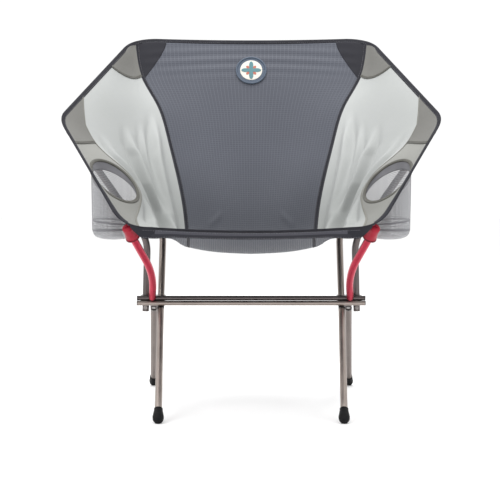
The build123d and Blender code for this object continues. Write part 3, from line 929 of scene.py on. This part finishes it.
def cross_tape(name, edge, inward, straight, turn, front, node):
    """The tape of the top or front edge, which turns towards the middle past its straight part."""
    line = edge.at(np.linspace(0.0, 1.0, 300))
    inward = np.broadcast_to(unit(inward), line.shape).copy()
    inward[:, 0] -= np.sign(line[:, 0]) * ease((np.abs(line[:, 0]) - straight) / 0.04) * turn
    return edge_tape(name, line, unit(inward), np.array(front), 1, node)


def top_tape(seat):
    below = seat.centre.at(0.12) - seat.centre.at(0)
    return cross_tape("top_edge", seat.top, below, 0.19, 0.6, (0, -1, 0.1), "top_binding")


def front_tape(seat):
    behind = np.array([0, 0.88, -0.47])
    return cross_tape("front_edge", seat.front, behind, 0.17, 0.5, (0, -0.6, 0.8), "front_binding")


def hanging_grid(line, depth, bulge, t):
    """A grid of points that hangs from a line: depth below it, and bulge in front of it."""
    points = np.repeat(line[:, None], len(t), axis=1)
    points[..., 1] -= bulge * MM
    points[..., 2] -= depth * MM
    return points


def front_band(seat):
    """The ribbed band that hangs from the front edge and deepens at its corners."""
    share = np.linspace(0.065, 0.935, 260)
    line = seat.front.at(share)
    near = ease((np.abs(line[:, 0]) - 0.125) / 0.04)
    t = np.linspace(0, 1, 14)
    depth = HEM_TOP + (HEM_DROP + CORNER_DROP * near)[:, None] * t
    points = hanging_grid(line, depth, 1.2 + 0.8 * np.sin(t * math.pi), t)
    uv = np.stack(np.broadcast_arrays(share[:, None] * seat.front.length, t * HEM_DROP * MM), axis=-1)
    obj = sheet_grid("front_band", points, 1, HEM, 1.6, uv)
    tidy_normals(obj)
    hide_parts("front_hem")
    for i, level in enumerate((0.12, 0.9)):
        row = points[:, 6].copy()
        row[:, 1] -= 0.9 * MM
        row[:, 2] = [np.interp(level, t, column) for column in points[..., 2]]
        normal = np.broadcast_to(np.array([0, -1.0, 0]), row.shape)
        stitches(f"front_band_stitch_{i}", row, normal, 1, DARK_THREAD)


def front_corner_patch(seat, name, side):
    """The black reinforcement where the band meets a front corner."""
    share = np.linspace(0.015, 0.115, 40)
    t = np.linspace(0, 1, 12)
    depth = HEM_TOP + 1.0 + 14.5 * ease(share / 0.075) * (1 - 0.35 * ease((share - 0.08) / 0.035))
    bulge = 1.9 + 0.6 * np.sin(t * math.pi)
    points = hanging_grid(seat.front.at(share), depth[:, None] * t, bulge, t)
    corner = f"front_corner_patch_{name}"
    obj = sheet_grid(corner, points, side, DARK_PATCH, 1.0)
    tidy_normals(obj)


def seam_tape(seat, name, side):
    """The black tape over the seam between the centre panel and a side panel."""
    down = np.linspace(0.004, 0.992, 360)
    line = seat.seam.at(down)
    one = np.ones_like(down)
    across = unit(seat.flat_wing(one * 0.05, down) - seat.flat_middle(one * 0.95, down))
    along = along_line(line)
    across = square_to(smooth_rows(across), along)
    normal = unit(np.cross(along, across))
    normal = normal * np.sign((normal * (SITTER - line)).sum(-1, keepdims=True))
    centre = line + normal * 0.5 * MM
    pieces = [tape(f"seam_tape_{name}", centre, across, normal, SEAM_TAPE, side, BLACK_TAPE)]
    for i, shift in enumerate((-SEAM_STITCH, SEAM_STITCH)):
        row = centre + across * shift * MM + normal * SEAM_TAPE[1] / 2 * MM
        pieces.append(stitches(f"seam_stitch_{name}_{i}", row, normal, side, DARK_THREAD))
    return pieces


def arm_seam_tape(seat, name, side):
    spots = seat.arm_seam.at(np.linspace(0.0, 1.0, 300)).T
    line = seat.wing(*spots)
    normal = smooth_rows(seat.wing_normal(*spots))
    across = across_line(line, normal)
    line = line + normal * 0.6 * MM
    obj = tape(f"arm_seam_tape_{name}", line, across, normal, ARM_SEAM_TAPE, side, SOFT_TAPE)
    row = line + across * 0.9 * MM + normal * 0.7 * MM
    return [obj, stitches(f"arm_seam_stitch_{name}", row, normal, side, GREY_THREAD)]


# ---- cup pockets -------------------------------------------------------------------------
def cup_rim(name, side):
    """The tape round a cup hole, with its stitches."""
    centre, normal, first, second = cup_frame()
    radial = spokes(first, second, turns(120))
    rim_out, stitch_out, stitch_up = 1.4, 2.8, 1.5
    line = centre + radial * (CUP_R + rim_out) * MM
    up = np.broadcast_to(normal, line.shape)
    rim = f"cup_rim_tape_{name}"
    obj = tape(rim, line, radial, up, CUP_RIM, side, TAUPE_TAPE, closed=True)
    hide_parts(f"cup_rim_{name}")
    row = ring_of(centre + radial * (CUP_R + stitch_out) * MM + normal * stitch_up * MM)
    thread = stitches(f"cup_rim_stitch_{name}", row, ring_of(up), side, GREY_THREAD)
    return [obj, thread]


def bag_points(levels):
    """Rings of the hanging pocket. A level from 0 to 1 runs down its wall, and from 1 to 2
    round its bottom to the middle."""
    centre, _, first, second = cup_frame()
    angle = turns(120)
    rim = centre + spokes(first, second, angle) * CUP_R * MM
    wall_end = (CUP_FLOOR + BAG_ROUND) * MM
    ripple = 0.022 * np.sin(5 * angle + 0.6) + 0.012 * np.sin(9 * angle + 2.0)
    rings = []
    for level in levels:
        wall, turn = min(level, 1.0), max(level - 1.0, 0.0) * math.pi / 2
        wide = 1 - 0.03 * wall - 0.02 * (1 + ripple * 40) * wall * 0.5
        wide = wide * (1 - (1 - math.cos(turn)) ** 1.6)
        ring = centre + (rim - centre) * wide[:, None]
        ring[:, 2] = rim[:, 2] + (wall_end - rim[:, 2]) * wall - BAG_ROUND * MM * math.sin(turn)
        rings.append(ring)
    return np.array(rings)


def cup_bag(name, side):
    """The mesh pocket, its solid collar under the rim, and its seam tapes."""
    levels = np.concatenate([np.linspace(0.0, 1.0, 36), 1 + np.linspace(0.08, 0.999, 16)])
    rings = wrapped(bag_points(levels))
    bag = sheet_grid(f"cup_mesh_{name}", rings, side, MESH, 0)
    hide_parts(f"cup_pocket_{name}")
    top = bag_points(np.linspace(0.0, COLLAR_SHARE, 8))
    top[..., :2] += (place(CUP_CENTRE)[:2] - top[..., :2]) * COLLAR_IN
    pieces = [sheet_grid(f"cup_collar_{name}", wrapped(top), side, GREY_TAPE, 0.5)]
    for which, level in (("low", 0.86), ("bottom", 1.12)):
        ring = bag_points([level])[0]
        outward = unit((ring - ring.mean(axis=0)) * np.array([1, 1, 0]))
        up = np.broadcast_to(np.array([0, 0, 1.0]), ring.shape)
        band = f"cup_{which}_band_{name}"
        pieces.append(tape(band, ring, up, outward, CUP_BAND, side, GREY_TAPE, closed=True))
    for i, column in enumerate((12, 72)):
        line = bag_points(np.linspace(0.02, 1.1, 40))[:, column]
        outward = unit((line - place(CUP_CENTRE)) * np.array([1, 1, 0]))
        across = across_line(line, -outward)
        band = f"cup_seam_{name}_{i}"
        pieces.append(tape(band, line, across, outward, CUP_SEAM, side, GREY_TAPE))


# ---- pole sleeves ------------------------------------------------------------------------
SLEEVE_CLOSE = 0.86           # where along a sleeve its rounded end starts
SLEEVE_PAST = 7.6             # how far a sleeve goes on past its pole's top


def sleeve(which, name, side, material, collar_material):
    """A flattened cloth sleeve over a pole's tip, closed at the tip, with a folded hem."""
    top, before, facing = POLE_TOPS[which]
    length, at_hem, at_tip, thick = SLEEVES[which]
    end, run = place(top), unit(place(top) - place(before))
    start = end - run * length * MM
    thin = square_to(np.array([facing]), run[None])[0]
    wide = unit(np.cross(run, thin))
    angle = turns(40)
    rings = []
    for level in np.linspace(0, 1.0, 22):
        close = max(0.0, (level - SLEEVE_CLOSE) / (1 - SLEEVE_CLOSE))
        shrink = math.sqrt(max(0.0, 1 - close ** 2.4)) if level < 1 else 0.02
        half = (at_hem + (at_tip - at_hem) * ease(level / 0.75)) / 2 * (0.35 + 0.65 * shrink)
        deep = thick * max(shrink, 0.05)
        swell = (1 + 0.02 * np.sin(3 * angle + level * 9))[:, None] * MM
        middle = start + run * level * (length + SLEEVE_PAST) * MM
        rings.append(middle + spokes(half * wide, deep * thin, angle) * swell)
    rings = wrapped(np.array(rings))
    obj = sheet_grid(f"{which}_cloth_{name}", rings, side, material, PATCH_CLOTH)
    tidy_normals(obj)
    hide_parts(f"{which}_{name}")
    hem = rings[0, :-1] + run * SLEEVE_HEM[0] / 2 * MM
    outward = unit(hem - hem.mean(axis=0))
    up = np.broadcast_to(run, hem.shape)
    hem = hem + outward * 0.4 * MM
    collar = f"{which}_collar_{name}"
    collar = tape(collar, hem, up, outward, SLEEVE_HEM, side, collar_material, closed=True)
    outward = ring_of(outward)
    row = rings[2] + outward * 0.5 * MM
    thread = stitches(f"{which}_stitch_{name}", row, outward, side, DARK_THREAD)


# ---- shoes -------------------------------------------------------------------------------
def shoe_profile(shoe_r, tube_r):
    """(height, radius) from the tread up over the rim: a round end under a long taper."""
    wall, rim, bore = shoe_r + 0.2, tube_r + 0.9, tube_r + 0.05
    lip, lip_start, lip_end = tube_r + 1.3, SHOE_TOP - 1.1, SHOE_TOP - 0.4
    taper = SHOE_TOP - 1.5 - SHOE_WALL
    turn = np.linspace(0.15, math.pi / 2, 14)
    line = [(-shoe_r * math.cos(t), shoe_r * math.sin(t)) for t in turn]
    line.append((SHOE_WALL, wall))
    line += [(SHOE_WALL + taper * t, wall + (rim - wall) * t) for t in np.linspace(0.1, 1.0, 12)]
    return line + [(lip_start, lip), (lip_end, lip), (SHOE_TOP, rim), (SHOE_TOP, bore)]


def shoe(end, name, side):
    """A moulded rubber shoe, turned about its leg's axis and flat where it stands."""
    pivot, toe, shoe_r, tube_r = LEGS[end]
    middle = place((*toe, shoe_r - TREAD))
    up = unit(place(pivot) - middle)
    first = unit(np.cross(up, [0.0, 1.0, 0.0]))
    angle = turns(64)
    radial = spokes(first, np.cross(up, first), angle)
    line = shoe_profile(shoe_r, tube_r)
    points = np.array([middle + (up * height + radial * radius) * MM for height, radius in line])
    points[..., 2] = np.maximum(points[..., 2], 0.0)
    uv = [(a * shoe_r * MM, height * MM) for height, _ in line for a in angle]
    faces = grid_faces(len(line), len(angle), side < 0, wrap=True)
    faces.append(tuple(range(len(angle))))
    flat = mirrored(points.reshape(-1, 3), side)
    rubber = f"{end}_shoe_rubber_{name}"
    obj = make(rubber, flat, faces, uv, RUBBER, f"leg_{end}_{name}")
    tidy_normals(obj)
    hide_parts(f"{end}_shoe_{name}")


# ---- badge -------------------------------------------------------------------------------
def disc_grid(seat, radii, lift, angle, wave=None):
    """Rings on the back's surface round the badge's centre, lifted off the cloth, and the
    surface's normal there. wave(angle) scales the rings to another outline."""
    down = next(d for d in np.linspace(0, 0.4, 400) if seat.centre.at(d)[2] < BADGE_Z * MM)
    centre = seat.centre.at(down)
    slope = unit(seat.centre.at(down + 0.02) - seat.centre.at(down - 0.02))
    normal = unit(np.cross(slope, [1.0, 0, 0]))
    normal = normal if normal[1] < 0 else -normal
    flat = spokes(np.array([1.0, 0, 0]), -slope, angle)
    outline = (wave(angle) if wave else np.ones_like(angle))[:, None]
    rings = [centre + flat * radius * outline * MM + normal * lift * MM for radius in radii]
    return np.array(rings), normal


def star(angle):
    return 0.30 + 0.70 * np.abs(np.cos(2 * angle)) ** 3.0


def small_star(angle):
    return 0.34 + 0.66 * np.abs(np.sin(2 * angle)) ** 3.0


def badge(seat):
    """A plain round patch with a four-pointed star, a cream field and a stitched edge."""
    ring_cloth = thread_look("badge_ring_thread", (0.050, 0.075, 0.115), (0.028, 0.045, 0.075))
    cream = thread_look("badge_cream_thread", (0.66, 0.64, 0.58), (0.52, 0.50, 0.44))
    teal = thread_look("badge_teal_thread", (0.075, 0.20, 0.22), (0.045, 0.13, 0.15))
    rust = thread_look("badge_rust_thread", (0.42, 0.12, 0.075), (0.30, 0.075, 0.05))
    layers = {                # radius, lift, cloth and outline
        "badge_base": (BADGE_R - 1.0, 2.1, ring_cloth, None),
        "badge_field": (BADGE_R - 7.0, 2.5, cream, None),
        "badge_small_star": (13.5, 2.8, rust, small_star),
        "badge_star": (19.5, 3.1, teal, star),
    }
    for name, (radius, lift, material, wave) in layers.items():
        angle = turns(192 if wave else 96)
        rings, _ = disc_grid(seat, np.linspace(0.02, radius, 16), lift, angle, wave)
        obj = sheet_grid(name, wrapped(rings), 1, material, 0.5)
        tidy_normals(obj)
        if name == "badge_base":
            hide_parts("badge")
    rings, normal = disc_grid(seat, [BADGE_R], 2.2, turns(240))
    ring = rings[0]
    outward = unit(ring - ring.mean(axis=0))
    up = np.broadcast_to(normal, ring.shape)
    return tape("badge_edge", ring, outward, up, BADGE_EDGE, 1, ring_cloth, closed=True)


# ---- the carried-over frame --------------------------------------------------------------
def dress_frame():
    """Gives each CAD node that is carried over its material."""
    gunmetal = anodised_look("gunmetal_anodised", (0.34, 0.293, 0.266), (0.24, 0.206, 0.188), 0.34)
    dark = anodised_look("dark_anodised", (0.135, 0.117, 0.115), (0.080, 0.069, 0.068), 0.36)
    red = anodised_look("red_anodised_look", (0.50, 0.040, 0.075), (0.36, 0.024, 0.048), 0.36)
    cast = cast_look("cast_knuckle", (0.30, 0.28, 0.27), (0.19, 0.175, 0.17))
    steel = cast_look("steel_rivet", (0.44, 0.43, 0.42), (0.30, 0.29, 0.285), 0.35)
    # Lit and shaded copies of the gunmetal tube: the front leg is gunmetal about 1.3 times as light, a
    # painted highlight; the rear leg about 0.7 times, painted shade.
    front_leg = anodised_look("front_leg_painted_highlight", (0.44, 0.383, 0.350), (0.31, 0.267, 0.243), 0.42)
    rear_leg = anodised_look("rear_leg_painted_shade", (0.24, 0.207, 0.192), (0.165, 0.142, 0.133), 0.34)
    nylon = cast_look("moulded_nylon", (0.060, 0.058, 0.058), (0.025, 0.025, 0.026), 0.55, 0.0)
    cord = thread_look("shock_cord_look", (0.07, 0.07, 0.07), (0.03, 0.03, 0.03))
    bare = anodised_look("bare_aluminium_look", (0.60, 0.59, 0.59), (0.46, 0.455, 0.455), 0.28)
    by_slot = {
        "gunmetal_tube": gunmetal, "dark_tube": dark, "red_anodised": red, "bare_aluminium": bare,
        "knuckle_metal": cast, "rivet_steel": steel, "tip_plastic": nylon, "hub_plastic": dark,
        "shock_cord": cord, "shoe_rubber": RUBBER,
    }
    # crossbar_rear takes the dark tube's look: painted shade on the rear crossbar, darker than the front
    # one.
    by_name = {"arm_pole_plug": cast, "front_leg": front_leg, "rear_leg": rear_leg, "crossbar_rear": dark}
    slots = {p["node"]: p["material_slot"] for p in frame["record"]["subparts"]}
    for node, obj in frame["nodes"].items():
        look = by_slot.get(slots[node])
        for start, other in by_name.items():
            if node.startswith(start):
                look = other
        if look:
            for slot in obj.material_slots:
                slot.material = look


# ---- the room ----------------------------------------------------------------------------
def show(obj):
    bpy.context.collection.objects.link(obj)
    return obj


def floor():
    size = 30.0
    mesh = bpy.data.meshes.new("floor")
    corners = [(-size, -size, 0), (size, -size, 0), (size, size, 0), (-size, size, 0)]
    mesh.from_pydata(corners, [], [(0, 1, 2, 3)])
    obj = show(bpy.data.objects.new("floor", mesh))
    look = Look("pale_floor", 0.9)
    look.colour(look.mix(look.grain(0.6, 2.0), (0.965, 0.965, 0.965), (0.985, 0.985, 0.985)))
    obj.data.materials.append(look.material)


def softbox(name, spot, size, power):
    data = bpy.data.lights.new(name, "AREA")
    data.shape = "RECTANGLE"
    data.size, data.size_y = size
    data.energy = power
    obj = show(bpy.data.objects.new(name, data))
    obj.location = spot
    aim = Vector((0, 0, 0.4)) - Vector(spot)
    obj.rotation_euler = aim.to_track_quat("-Z", "Y").to_euler()


def room():
    floor()
    world = bpy.data.worlds.new("studio")
    world.use_nodes = True
    world.node_tree.nodes["Background"].inputs["Color"].default_value = (1.0, 1.0, 1.0, 1.0)
    world.node_tree.nodes["Background"].inputs["Strength"].default_value = 1.04
    bpy.context.scene.world = world
    bpy.context.scene.view_settings.view_transform = "Standard"
    softbox("key", (-1.6, -1.6, 2.3), (1.4, 1.4), 22)
    softbox("fill", (1.9, -2.0, 1.5), (0.5, 1.8), 8)
    softbox("top", (0.0, 0.1, 2.4), (1.8, 1.2), 44)
    softbox("back", (0.0, 2.4, 1.4), (2.6, 1.4), 12)


def camera():
    data = bpy.data.cameras.new("camera")
    data.sensor_width = 36.0
    data.lens = 83.16
    data.shift_x = -0.0024
    data.clip_end = 60.0
    obj = show(bpy.data.objects.new("camera", data))
    obj.location = (0.0, -2.12343, 0.365)
    obj.rotation_euler = (math.radians(90 - 1.8), 0, 0)
    bpy.context.scene.camera = obj


def build():
    seat = Seat()
    camera()
    room()
    dress_frame()
    middle, middle_points = centre_panel(seat)
    centre_pieces = [*top_tape(seat), *front_tape(seat), badge(seat)]
    for name, side in SIDES.items():
        (light, light_points), (arm, arm_points) = wing_panels(seat, name, side)
        dark, taupe, arm_patch = corner_patches(seat, name, side)
        centre_pieces += [dark, *seam_tape(seat, name, side), pan_backing(seat, name, side)]
        light_pieces = [taupe, *hem_rows(seat, name, side), *side_tape(seat, name, side)]
        arm_pieces = [arm_patch, *arm_seam_tape(seat, name, side), *cup_rim(name, side)]
        cup_bag(name, side)
        sleeve("back_pocket", name, side, DARK_PATCH, BLACK_TAPE)
        sleeve("arm_pocket", name, side, DARK_PATCH, BLACK_TAPE)
        sleeve("front_pocket", name, side, RED_CLOTH, RED_TAPE)
        for end in LEGS:
            shoe(end, name, side)
    front_band(seat)
    for name, side in SIDES.items():
        front_corner_patch(seat, name, side)


build()
